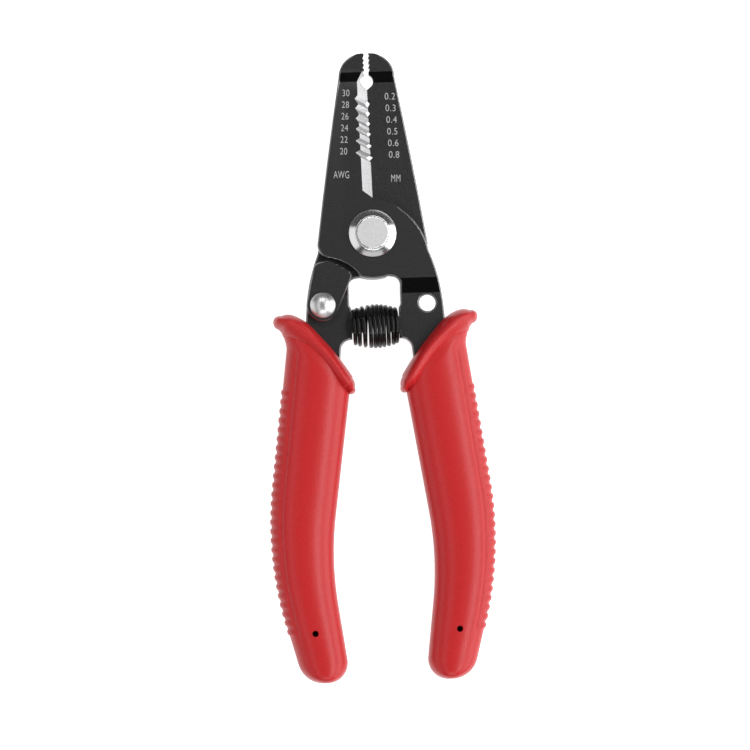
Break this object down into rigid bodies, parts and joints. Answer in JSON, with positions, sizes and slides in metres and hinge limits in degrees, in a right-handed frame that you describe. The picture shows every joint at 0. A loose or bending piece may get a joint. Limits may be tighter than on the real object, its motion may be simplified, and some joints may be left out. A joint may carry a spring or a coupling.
{
  "type": "wire stripper",
  "caption": "Precision hand wire stripper with two riveted black steel jaws, graded stripping notches, gripping nose, return spring, lock lever and red moulded grips.",
  "frame": {"origin": "centre of the footprint of the tool lying flat on its back, on the surface under it", "axes": "+Y towards the nose along the tool, +X towards the right-hand grip seen from the front, +Z out of the front face, along the pivot"},
  "size_m": [0.061, 0.17, 0.013],
  "materials": {
    "black_steel": "black oxide, satin",
    "polished_steel": "polished",
    "spring_steel": "black, glossy wire",
    "grip_plastic": "satin moulded vinyl"
  },
  "bodies": {
    "left_arm": {"rear_plate": "black_steel", "left_grip": "grip_plastic", "pivot_rivet": "polished_steel", "front_collar": "polished_steel", "rear_collar": "polished_steel", "latch_rivet": "polished_steel", "latch_washer": "spring_steel", "return_spring": "spring_steel"},
    "right_arm": {"front_plate": "black_steel", "right_grip": "grip_plastic"},
    "latch_lever": {"latch": "black_steel"}
  },
  "joints": [
    {"name": "jaw_hinge", "type": "hinge", "parent": "left_arm", "child": "right_arm", "pos_m": [0, 0.03565, 0.0065], "axis": [0, 0, 1], "range_deg": [-1.3, 14], "deforming": ["return_spring"]},
    {"name": "latch_swing", "type": "hinge", "parent": "left_arm", "child": "latch_lever", "pos_m": [-0.01415, 0.01655, 0.00895], "axis": [0, 0, 1], "range_deg": [-7.5, 78]}
  ],
  "couplings": [
    {"joint": "latch_swing", "follows": "jaw_hinge", "ratio": 5.5}
  ]
}
